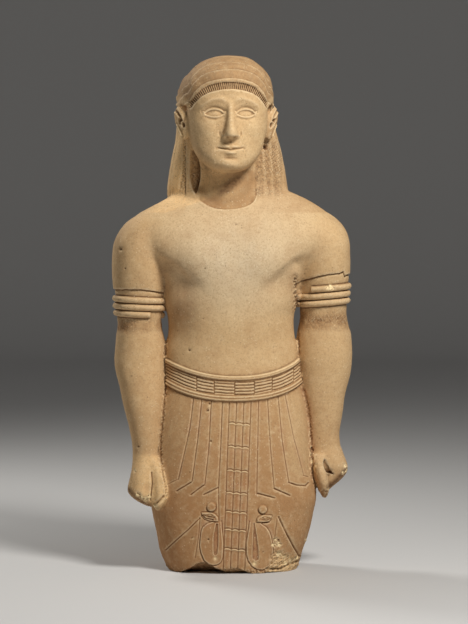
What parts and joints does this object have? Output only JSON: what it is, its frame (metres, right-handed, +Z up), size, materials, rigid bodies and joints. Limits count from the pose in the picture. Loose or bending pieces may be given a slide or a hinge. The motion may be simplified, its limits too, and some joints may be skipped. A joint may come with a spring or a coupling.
{
  "type": "limestone statue of a standing man",
  "caption": "Carved limestone statue of a standing man with long stepped hair, ringed upper arms, fists at his sides and a pleated kilt with a decorated front panel, broken off at the knees.",
  "frame": {"origin": "bottom centre of the figure's bounding box, on the floor it rests on", "axes": "+Z up along the figure, the figure faces -Y, +X is on the viewer's right when facing the figure"},
  "size_m": [0.6013, 0.3162, 1.2701],
  "materials": {
    "limestone": "matt, weathered"
  },
  "bodies": {
    "root": {"limestone_figure": "limestone"}
  },
  "joints": []
}
